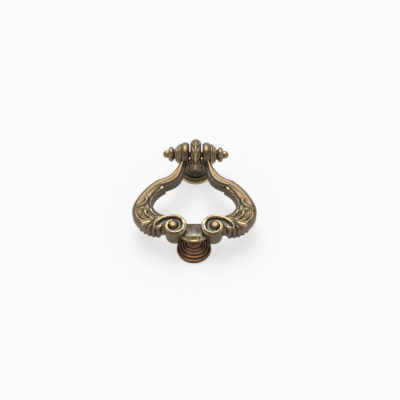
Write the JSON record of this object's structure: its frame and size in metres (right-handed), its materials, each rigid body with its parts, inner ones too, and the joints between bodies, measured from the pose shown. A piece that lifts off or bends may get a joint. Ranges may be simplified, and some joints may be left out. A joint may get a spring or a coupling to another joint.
{
  "type": "ring pull handle",
  "caption": "Cast antique brass ring pull of the door knocker pattern: a bail with volutes and leaf carving swings on a pinned post and comes to rest on a turned stud.",
  "frame": {"origin": "centre of the post's foot on the mounting face, at the mouth of the post's fixing hole", "axes": "+Z out of the mounting face towards the hand, +X along the hinge to the right, +Y up the door from the stud to the post; the bail's free end points towards -Y"},
  "size_m": [0.0996, 0.1097, 0.0371],
  "materials": {
    "antique_brass": "aged brass with dark patina in the recesses and rubbed high spots",
    "red_brass": "aged red brass with dark grooves",
    "pin_brass": "plain drawn brass rod"
  },
  "bodies": {
    "base": {"hinge_post": "antique_brass", "strike_stud": "red_brass"},
    "bail": {"bail_ring": "antique_brass", "hinge_pin": "pin_brass", "left_finial": "antique_brass", "right_finial": "antique_brass"}
  },
  "joints": [
    {"name": "bail_swing", "type": "hinge", "parent": "base", "child": "bail", "pos_m": [0, 0, 0.0232], "axis": [-1, 0, 0], "range_deg": [0, 190]}
  ]
}
